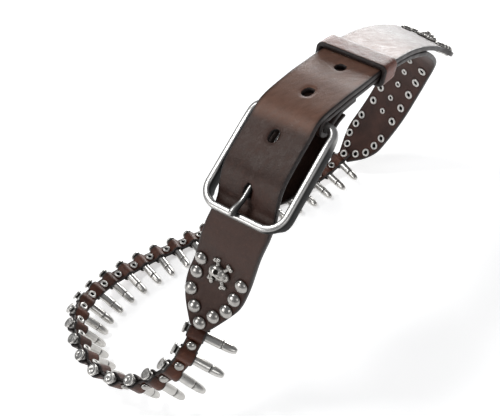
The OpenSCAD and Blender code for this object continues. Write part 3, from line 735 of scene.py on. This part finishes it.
def make_band(name, node, side):
    line = curve([(s, z, 0, 0, 0, 0) for s, z in band_line()], 2)[:, :2]
    points = [local(BELT.axes(s), 0, 0, drop(s) + side * z) for s, z in line]
    verts, marks = [], []
    columns = 8
    for i, (s, height) in enumerate(line):
        x = BELT.axes(s)[1]
        y = unit(points[min(i + 1, len(points) - 1)] - points[max(i - 1, 0)])
        x = unit(x - (x @ y) * y)
        f = (points[i], x, y, np.cross(x, y))
        outline = strap_outline(band_width(height), BAND_T, columns)
        outline = [(px, pz, rim * 0.8, kind) for px, pz, rim, kind in outline]
        for px, pz, rim, kind in outline:
            verts.append(local(f, px, 0, min(max(pz, -BAND_T / 2), BAND_T / 2)))
            marks.append(rim)
    kinds = [row[3] for row in outline]
    around = len(kinds)
    faces, cols = tube_faces(len(line), around)
    lit = 0 if side > 0 else 2
    slots = [0 if kinds[c] == kinds[(c + 1) % around] == lit else
             (2 if kinds[c] == kinds[(c + 1) % around] == 2 - lit else 1) for c in cols]
    faces.append(tuple(range(around)))
    faces.append(tuple((len(line) - 1) * around + k for k in range(around)))
    band = piece(name, verts, faces, [STRIP_FACE, EDGE, INSIDE], slots + [1, 1], marks)
    fix(band, "belt", node, slot="strip_leather")


def stud_profile():
    """[radius, height, cavity] from the rim's face down to the rounded tip, which is at height 0. The last
    column darkens the groove under the rim and the crimp, as tarnish and painted shade.
    """
    top, r = STUD_L, STUD_R
    rows = [(0, top - 0.00012, 0.0), (0.0012, top - 0.00012, 0.0), (0.0014, top - 0.0002, 0.3),
            (0.0016, top, 0.0), (RIM_R - 0.0006, top, 0.0), (RIM_R - 0.0002, top - 0.0001, 0.0),
            (RIM_R, top - 0.0004, 0.0),
            (RIM_R, top - 0.0012, 0.1), (RIM_R - 0.0003, top - 0.0015, 0.4), (r - 0.0006, top - 0.0017, 1.0),
            (r - 0.0006, top - 0.0027, 1.0), (r - 0.0003, top - 0.0031, 0.6), (r, top - 0.0036, 0.1)]
    rows += [(r, 0.018, 0.0), (r, 0.0110, 0.0), (r - 0.00004, 0.0101, 0.05), (r - 0.0001, 0.0099, 0.2),
             (r - 0.0004, 0.0098, 1.0), (r - 0.0004, 0.0094, 0.9), (r - 0.0002, 0.0090, 0.3),
             (r - 0.0002, 0.0080, 0.0)]
    nose_r, nose_l, blunt_r = r - 0.0002, 0.0075, 0.0008
    for a in range(80, 9, -10):
        c, s = math.cos(math.radians(a)), math.sin(math.radians(a))
        rows.append((blunt_r + (nose_r - blunt_r) * s ** 0.85, nose_l * (1 - c), 0.0))
    rows += [(0.0006, 0.00003, 0.0), (0.0, 0.0, 0.0)]
    return rows


def make_studs():
    profile = stud_profile()
    for name, node, which in (("studs_by_buckle", "studs_near", range(0, 10)),
                              ("studs_round_curl", "studs_curl", range(10, 20)),
                              ("studs_on_floor", "studs_floor", range(20, STUD_N))):
        places = []
        for i in which:
            m, x, y, z = BELT.axes(STUD_S[i])
            start = m + drop(STUD_S[i]) * z + (RIM_X - STUD_L) * x
            turn = math.radians(47 * i % 360)
            a = math.cos(turn) * y + math.sin(turn) * z
            places.append((start, a, np.cross(x, a), x))
        fix(turned(name, places, profile, NICKEL), "belt", node, slot="stud_metal")


# ---- rivets -------------------------------------------------------------------------------------
def dome_profile(r, post):
    """Round head with a small rolled rim, and its post down to the depth post."""
    rim_h, crown, post_r = 0.0003, 0.60 * r, 0.0014
    rows = [(0, rim_h + crown, 0.0)]
    # painted shade: the lower flank and the rim of the head are darkened where it meets the leather
    rows += [(r * math.sin(math.radians(a)), rim_h + crown * math.cos(math.radians(a)),
              max(0.0, (a - 70) / 40)) for a in range(8, 89, 8)]
    rows += [(r, 0.0002, 0.8), (r - 0.0002, 0.0, 1.0)]
    rows += [(post_r, 0.0, 1.0), (post_r, -post, 1.0), (0.0, -post, 1.0)]
    return rows


def ring_profile(r, hole):
    """Rolled end of a hollow rivet; its bore is closed by a shallow floor, and bore and floor are painted
    near black as painted shade for the open hole.
    """
    # painted shade: the lip is darkened where the ring meets the leather
    rows = [(r - 0.0004, 0.0001, 0.9), (r, -0.0002, 0.6)]
    middle, half = (r + hole) / 2, (r - hole) / 2
    rows += [(middle + half * math.cos(math.radians(a)), -0.0003 - 0.0009 * math.sin(math.radians(a)), 0.0)
             for a in range(0, 181, 20)]
    # painted shade: the bore wall and the shallow floor that closes it are painted near black
    rows += [(hole, -0.0004, 1.0), (hole - 0.0001, -0.00024, 1.0), (0.0, -0.00024, 1.0)]
    return rows


def rivet_row(name, node, places, profile, mat):
    fix(turned(name, places, profile, mat), "belt", node, slot="rivet_metal")


def make_rivets():
    apex_grip = BILLET_T / 2 + STRIP_DROP + BAND_T
    billet_tops = point_places(BELT, APEX_1, -1, POINT_RIVETS, BILLET_T)
    tip_tops = point_places(BELT, 0, 1, TIP_RIVETS, BILLET_T)
    strap_tops = point_places(LINING, LINING_APEX, 1, POINT_RIVETS, LINING_T)
    strap_tops += [at(LINING, s, x, LINING_T / 2) for s in row_stops() for x in (-ROW_HALF, ROW_HALF)]
    small_tops = [at(LINING, s, 0, LINING_T / 2) for s in row_stops()]
    large, in_lining = dome_profile(DOME_R, BILLET_GRIP), dome_profile(DOME_R, LINING_GRIP)
    small = dome_profile(SMALL_R, LINING_GRIP)
    rivet_row("billet_domes", "billet_dome_rivets", billet_tops, large, RIVET)
    rivet_row("tip_domes", "tip_dome_rivets", tip_tops, large, RIVET)
    rivet_row("strap_domes", "strap_dome_rivets", strap_tops, in_lining, RIVET)
    rivet_row("strap_small_domes", "strap_small_rivets", small_tops, small, RIVET)

    def backs(tops, t):
        return [(f[0] - t * f[3],) + f[1:] for f in tops]

    def with_apex(tops, t):
        """The rivet at the very point of a strap also goes through the strip."""
        first = (tops[0][0] - (apex_grip - (BILLET_T - t) / 2) * tops[0][3],) + tops[0][1:]
        return [first] + backs(tops[1:], t)

    ring, small_ring = ring_profile(RING_R, 0.00170), ring_profile(0.0027, 0.00115)
    rivet_row("billet_rings", "billet_rivet_rings", with_apex(billet_tops, BILLET_T), ring, EYELET)
    rivet_row("tip_rings", "tip_rivet_rings", backs(tip_tops, BILLET_T), ring, EYELET)
    rivet_row("strap_rings", "strap_rivet_rings", with_apex(strap_tops, LINING_T), ring, EYELET)
    rivet_row("strap_small_eyelets", "strap_small_rings", backs(small_tops, LINING_T), small_ring, EYELET)


def make_strip_rivets():
    """Domes on the outer band and eyelets on the inner one, each on a short neck."""
    neck, neck_r, face = 0.0004, 0.0021, FLAT_Z + BAND_T / 2
    caps = [at(BELT, s, 0, drop(s) + face) for s in STRIP_RIVET_S]
    cap = [(r, z + neck, c) for r, z, c in dome_profile(STRIP_R, 0)[:-3]]
    cap += [(neck_r, neck, 1.0), (neck_r, -0.0002, 1.0), (0.0, -0.0002, 1.0)]
    rivet_row("strip_caps", "strip_rivet_caps", caps, cap, RIVET)
    backs = [at(BELT, s, 0, drop(s) - face - neck) for s in STRIP_RIVET_S]
    eyelet = [(neck_r, neck + 0.0001, 1.0), (neck_r, 0.0001, 1.0)] + ring_profile(STRIP_R, 0.00145)
    rivet_row("strip_eyelets", "strip_rivet_rings", backs, eyelet, EYELET)


# ---- skull conchos ------------------------------------------------------------------------------
def blob(parts, voxel):
    """One closed skin over a set of ellipsoids: [centre, radii, turn about z], in millimetres."""
    bm = bmesh.new()
    for centre, radii, turn in parts:
        centre, radii = tuple(c * MM for c in centre), tuple(r * MM for r in radii)
        m = Matrix.Translation(centre) @ Matrix.Rotation(turn, 4, "Z") @ Matrix.Diagonal((*radii, 1))
        bmesh.ops.create_icosphere(bm, subdivisions=4, radius=1, matrix=m)
    mesh = bpy.data.meshes.new("blob")
    bm.to_mesh(mesh)
    bm.free()
    obj = bpy.data.objects.new("blob", mesh)
    bpy.context.scene.collection.objects.link(obj)
    remesh = obj.modifiers.new("skin", "REMESH")
    remesh.mode, remesh.voxel_size = "VOXEL", voxel
    soften = obj.modifiers.new("soften", "SMOOTH")
    soften.factor, soften.iterations = 0.5, 3
    return obj


def skull_mesh():
    """Skull over crossed bones on a flat back; the top of the skull points to +x."""
    solid = [((2.0, 0, 1.2), (5.3, 4.9, 4.0), 0), ((-1.2, 0, 1.4), (3.4, 4.2, 3.0), 0),
             ((-4.2, 0, 1.0), (2.6, 2.9, 2.4), 0), ((0.2, 3.3, 1.5), (2.0, 1.4, 2.1), 0),
             ((0.2, -3.3, 1.5), (2.0, 1.4, 2.1), 0)]
    for turn in (58, -58):
        a = math.radians(turn)
        for k in range(-8, 9):
            solid.append(((k * math.cos(a), k * math.sin(a), 0.5), (1.1, 1.25, 1.3), a))
        for e in (-1, 1):
            for side in (-1, 1):
                x, y = e * 8.7, side * 1.25
                knuckle = (x * math.cos(a) - y * math.sin(a), x * math.sin(a) + y * math.cos(a), 0.7)
                solid.append((knuckle, (1.5, 1.5, 1.6), a))
    skin = blob(solid, 0.00022)
    hollow = [((1.2, 2.15, 5.0), (1.65, 1.45, 1.9), 0.2), ((1.2, -2.15, 5.0), (1.65, 1.45, 1.9), -0.2),
              ((-1.6, 0, 4.7), (1.1, 0.65, 1.1), 0)]
    for y in (-1.6, -0.55, 0.55, 1.6):
        hollow.append(((-4.9, y, 3.5), (1.3, 0.17, 0.9), 0))
    hollow.append(((-3.7, 0, 4.2), (0.22, 2.2, 0.9), 0))
    eyes = blob(hollow, 0.00012)
    mod = skin.modifiers.new("sockets", "BOOLEAN")
    mod.operation, mod.solver, mod.object = "DIFFERENCE", "EXACT", eyes
    below = prism("below", (np.zeros(3), np.array([1, 0, 0]), np.array([0, 1, 0]), np.array([0, 0, 1])),
                  [(-0.02, -0.02), (0.02, -0.02), (0.02, 0.02), (-0.02, 0.02)], -0.02, 0.0, SILVER)
    flat = skin.modifiers.new("flat", "BOOLEAN")
    flat.operation, flat.solver, flat.object = "DIFFERENCE", "EXACT", below
    graph = bpy.context.evaluated_depsgraph_get()
    mesh = bpy.data.meshes.new_from_object(skin.evaluated_get(graph))
    for obj in (skin, eyes, below):
        bpy.data.objects.remove(obj)
    mesh.materials.clear()
    return mesh


def make_skulls():
    mesh = skull_mesh()
    base = [v.co.copy() for v in mesh.vertices]
    polys = [tuple(p.vertices) for p in mesh.polygons]
    normals = [v.normal.copy() for v in mesh.vertices]
    verts, faces, marks = [], [], []
    for s in (APEX_1 - SKULL_AT, TIP_SKULL_AT):
        f = at(BELT, s, 0, BILLET_T / 2)
        first = len(verts)
        for v, n in zip(base, normals):
            verts.append(local(f, v.x, v.y, v.z))
            # Painted shade: the marks darken the skull towards its base, in the eye sockets and on faces
            # that turn away from straight out.
            low = 1 - min(1.0, v.z / 0.0022)
            socket = 1.0 if math.hypot(v.x - 0.0012, abs(v.y) - 0.00215) < 0.0014 and v.z < 0.0044 else 0.0
            marks.append(max(0.0, 0.75 * low, socket, 0.5 * (1 - max(0.0, n.z)) ** 2))
        faces += [tuple(first + k for k in p) for p in polys]
    skulls = piece("skulls", verts, faces, [SILVER], None, marks, "tarnish_and_shade")
    fix(skulls, "belt", "skull_conchos", slot="concho_metal")


# ---- buckle -------------------------------------------------------------------------------------
def frame_line():
    """Middle line of the buckle's bar, as points in its own axes."""
    half = BUCKLE_W / 2 - BAR_R
    points = []

    def arc(cx, cy, r, a0):
        for k in range(13):
            a = math.radians(a0 + 90 * k / 12)
            points.append((cx + r * math.cos(a), cy + r * math.sin(a)))

    def straight(x0, y0, x1, y1, n):
        for k in range(1, n):
            points.append((x0 + (x1 - x0) * k / n, y0 + (y1 - y0) * k / n))

    h, t, l = HEEL_CORNER, TIP_CORNER, BUCKLE_L
    arc(half - h, h, h, -90)
    straight(half, h, half, l - t, 16)
    arc(half - t, l - t, t, 0)
    straight(half - t, l, -half + t, l, 14)
    arc(-half + t, l - t, t, 90)
    straight(-half, l - t, -half, h, 16)
    arc(-half + h, h, h, 180)
    straight(-half + h, 0, half - h, 0, 20)
    return points


def make_frame():
    """Ring of the buckle: round at the heel, upright with squarer sides along the rails."""
    rail_x, rail_down, upright = 0.0225, 0.0032, 0.0007
    line = frame_line()
    n, around = len(line), 32
    verts, marks = [], []
    for i, (x, y) in enumerate(line):
        dx, dy = np.array(line[(i + 1) % n]) - np.array(line[i - 1])
        out = unit([dy, -dx])
        for k in range(around):
            a = 2 * math.pi * k / around
            c, s = math.cos(a), math.sin(a)
            tall = smooth((y - 0.001) / 0.012)
            side = smooth((abs(x) - rail_x) / 0.003)
            deep = side if s < 0 else 1.0
            power = 1 - 0.38 * tall * deep
            c, s = math.copysign(abs(c) ** power, c), math.copysign(abs(s) ** power, s)
            at_prong = math.exp(-((x - PRONG_LEAN) / 0.0022) ** 2) if y > BUCKLE_L - 0.001 else 0.0
            notch = 0.0003 * at_prong * max(0.0, s) ** 2
            rx = BAR_R - 0.00050 * tall
            rz = BAR_R + (upright * deep + rail_down * side * max(0.0, -s)) * tall - notch
            verts.append(local(BUCKLE_AXES, x + rx * c * out[0], y + rx * c * out[1], rz * s))
            # Painted shade and painted dark reflection: along the rails and tip bar the faces below the
            # crest are darkened, those facing -x in the buckle's axes darkest.
            flank = tall * smooth((0.93 - s) / 0.30)
            shaded_side = smooth((-c * out[0] - 0.05) / 0.30)
            marks.append(flank * (0.42 + 0.57 * shaded_side))
    faces, _ = tube_faces(n, around, closed=True)
    obj = piece("buckle_ring", verts, faces, [BUCKLE], None, marks, "tarnish_and_shade")
    fix(obj, "frame", "buckle_frame", slot="buckle_metal")


def make_prong():
    """Curl round the heel bar, and a shank that ends in a blunt knob on the tip bar."""
    curl_in = BAR_R + 0.00008
    thick, slim = 0.0016, 0.90 * PRONG_R
    rows = []
    for a in range(-205, 46, 8):
        c, s = math.cos(math.radians(a)), math.sin(math.radians(a))
        grow = smooth((a + 5) / 50)
        mid = curl_in + thick / 2 + 0.0001 * grow
        rows.append((mid * c, mid * s, thick / 2, CURL_W / 2 * (1 - grow) + PRONG_R * 1.15 * grow, 0.0))
    start = np.array([0.0032, 0.0032])
    knob = 1.36 * PRONG_R
    end = np.array([BUCKLE_L - 0.0002, BAR_R + PRONG_R + 0.0001])
    lift = knob - PRONG_R + 0.0004
    for k in range(3, 41):
        t = k / 40
        p = start + (end - start) * t
        near_tip = smooth((t - 0.84) / 0.16)
        r = slim + (knob - slim) * smooth((t - 0.87) / 0.13)
        rows.append((p[0], p[1] + lift * near_tip, r, r * 1.02, PRONG_LEAN * near_tip))
    for k in range(1, 7):
        a = math.radians(15 * k)
        p = end + knob * math.sin(a) * unit(end - start)
        r = max(knob * math.cos(a), 0.00012)
        rows.append((p[0], p[1] + lift, r, r, PRONG_LEAN))
    around, curled, verts, marks = 20, 20, [], []    # the first rows stand square to the heel bar
    for i, (u, n, half_t, half_w, aside) in enumerate(rows):
        before, after = rows[max(i - 1, 0)], rows[min(i + 1, len(rows) - 1)]
        d = unit([after[0] - before[0], after[1] - before[1]])
        up = np.array([-d[1], d[0]])
        if i < curled:
            up = unit([u, n])
        box = max(0.0, min(1.0, half_w / half_t - 1.05)) / 0.5
        power = 1.0 if box <= 0 else 0.55
        for k in range(around):
            a = 2 * math.pi * k / around
            c, s = math.cos(a), math.sin(a)
            cx = math.copysign(abs(c) ** power, c) * half_w
            cz = math.copysign(abs(s) ** power, s) * half_t
            verts.append(local(BUCKLE_AXES, aside + cx, u + up[0] * cz, n + up[1] * cz))
            # Painted shade: the shank is darkened on its underside and on its side facing -x, and the curl
            # by half.
            shaded = 0.9 * max(smooth((-c - 0.1) / 0.5), smooth((0.1 - s) / 0.5))
            marks.append(0.5 if i < curled + 2 else shaded)
    faces, _ = tube_faces(len(rows), around)
    faces.append(tuple(range(around)))
    faces.append(tuple((len(rows) - 1) * around + k for k in range(around)))
    obj = piece("prong_bar", verts, faces, [BUCKLE], None, marks, "tarnish_and_shade")
    fix(obj, "prong", "buckle_prong", slot="buckle_metal")


# ---- keeper -------------------------------------------------------------------------------------
def make_keeper():
    """Closed leather loop round both straps, swept along a rounded rectangle."""
    pack_t = BILLET_T + LAYER_GAP + LINING_T
    f = at(BELT, APEX_1 - KEEPER_AT, 0, BILLET_T / 2 - pack_t / 2)
    half = np.array([STRAP_W / 2 + KEEPER_GAP, pack_t / 2 + KEEPER_GAP])
    corner = 0.0014
    loop = []
    for cx, cz, a0 in ((1, 1, 0), (-1, 1, 90), (-1, -1, 180), (1, -1, 270)):
        for k in range(9):
            a = math.radians(a0 + 90 * k / 8)
            loop.append((cx * (half[0] - corner), cz * (half[1] - corner), math.cos(a), math.sin(a)))
    dense = []
    for i, (x, z, nx, nz) in enumerate(loop):
        dense.append((x + corner * nx, z + corner * nz, nx, nz))
        x2, z2, nx2, nz2 = loop[(i + 1) % len(loop)]
        if abs(nx - nx2) + abs(nz - nz2) < 1e-6:
            gap = (x2 - x, z2 - z)
            steps = max(2, int(math.hypot(*gap) / 0.0015))
            for k in range(1, steps):
                px, pz = x + gap[0] * k / steps, z + gap[1] * k / steps
                dense.append((px + corner * nx, pz + corner * nz, nx, nz))
    section = []
    w = KEEPER_L / 2
    for k in range(13):
        section.append((-w + EDGE_R + (2 * w - 2 * EDGE_R) * k / 12, KEEPER_T, 0))
    for k in range(1, 6):
        a = math.radians(90 - 18 * k)
        section.append((w - EDGE_R + EDGE_R * math.cos(a), KEEPER_T - EDGE_R + EDGE_R * math.sin(a), 1))
    section += [(w, 0.0004, 1), (w - 0.0004, 0.0, 2), (-w + 0.0004, 0.0, 2), (-w, 0.0004, 1)]
    for k in range(0, 5):
        a = math.radians(180 - 18 * k)
        section.append((-w + EDGE_R + EDGE_R * math.cos(a), KEEPER_T - EDGE_R + EDGE_R * math.sin(a), 1))
    verts, marks = [], []
    for x, z, nx, nz in dense:
        for y, out, kind in section:
            pillow = 0.00018 * (1 - (y / w) ** 4) if kind == 0 else 0.0
            verts.append(local(f, x + nx * (out + pillow), y, z + nz * (out + pillow)))
            marks.append(max(0.0, 1 - (w - abs(y)) / 0.0022) if kind != 2 else 0.3)
    around = len(section)
    faces, cols = tube_faces(len(dense), around, closed=True)
    kinds = [row[2] for row in section]
    slots = [0 if kinds[c] == kinds[(c + 1) % around] == 0 else
             (2 if kinds[c] == kinds[(c + 1) % around] == 2 else 1) for c in cols]
    obj = piece("keeper_leather", verts, faces, [KEEPER_FACE, EDGE, INSIDE], slots, marks)
    fix(obj, "keeper", "keeper_loop", slot="strip_leather")


def dress_cad():
    """The small pieces that stay as CAD solids get the same worn nickel."""
    for node in ("concho_screws", "fold_rivets", "fold_rivet_caps", "underlay_tacks", "keeper_staple"):
        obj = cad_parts[node]
        obj.data.materials.clear()
        obj.data.materials.append(RIVET)


# ---- camera, floor and light --------------------------------------------------------------------
def make_camera():
    data = bpy.data.cameras.new("camera")
    data.lens, data.sensor_width = 46.8, 36
    data.clip_start, data.clip_end = 0.01, 20
    obj = bpy.data.objects.new("camera", data)
    bpy.context.scene.collection.objects.link(obj)
    look = Vector((0.3188, 0.6933, -0.6463)).normalized()
    right = look.cross(Vector((0.3957, 0.5223, 0.7554))).normalized()
    up = right.cross(look)
    pose = Matrix((right, up, -look)).transposed().to_4x4()
    pose.translation = Vector((-0.1738, -0.3156, 0.3794))
    obj.matrix_world = pose
    bpy.context.scene.camera = obj


def make_floor():
    """A pale light table: a white sheet that glows a little from below."""
    verts = [(-4, -4, 0), (4, -4, 0), (4, 4, 0), (-4, 4, 0)]
    floor = piece("floor", verts, [(0, 1, 2, 3)], [])
    n = Nodes("pale_floor")
    tone = n.mix(n.ramp(n.noise(3, 3), 0.3, 0.7), (0.90, 0.90, 0.90), (0.92, 0.92, 0.92))
    rough = n.ramp(n.noise(40, 2), 0.3, 0.7, 0.85, 0.95)
    n.finish(tone, rough, n.bump(n.noise(500, 2), 0.00002, 0.1), Specular_IOR_Level=0.1,
             Emission_Color=(1.0, 1.0, 1.0, 1.0), Emission_Strength=0.46)
    floor.data.materials.append(n.mat)


def make_light(name, place, target, size, power):
    data = bpy.data.lights.new(name, "AREA")
    data.shape, data.size, data.size_y, data.energy = "RECTANGLE", size[0], size[1], power
    obj = bpy.data.objects.new(name, data)
    bpy.context.scene.collection.objects.link(obj)
    obj.location = place
    obj.rotation_euler = (Vector(target) - Vector(place)).to_track_quat("-Z", "Y").to_euler()


def make_stage():
    make_camera()
    make_floor()
    make_light("back_right", (1.25, 1.25, 0.45), (0, 0, 0.10), (1.3, 0.5), 26)
    make_light("top_small", (-0.55, 0.38, 1.35), (-0.05, -0.05, 0.12), (0.26, 0.26), 5)
    make_light("left", (-1.5, 0.1, 0.7), (0, 0, 0.08), (0.5, 0.7), 6)
    make_light("front", (-0.2, -1.6, 1.0), (0, 0, 0.05), (1.2, 0.5), 5)
    world = bpy.data.worlds.new("studio")
    world.use_nodes = True
    world.node_tree.nodes["Background"].inputs["Color"].default_value = (0.95, 0.97, 1.0, 1)
    world.node_tree.nodes["Background"].inputs["Strength"].default_value = 0.24
    bpy.context.scene.world = world
    bpy.context.scene.view_settings.view_transform = "Standard"


make_stage()
make_billet()
make_buckle_strap()
make_underlay()
make_band("outer_band", "strip_outer_band", 1)
make_band("inner_band", "strip_inner_band", -1)
make_studs()
make_rivets()
make_strip_rivets()
make_skulls()
make_frame()
make_prong()
make_keeper()
dress_cad()
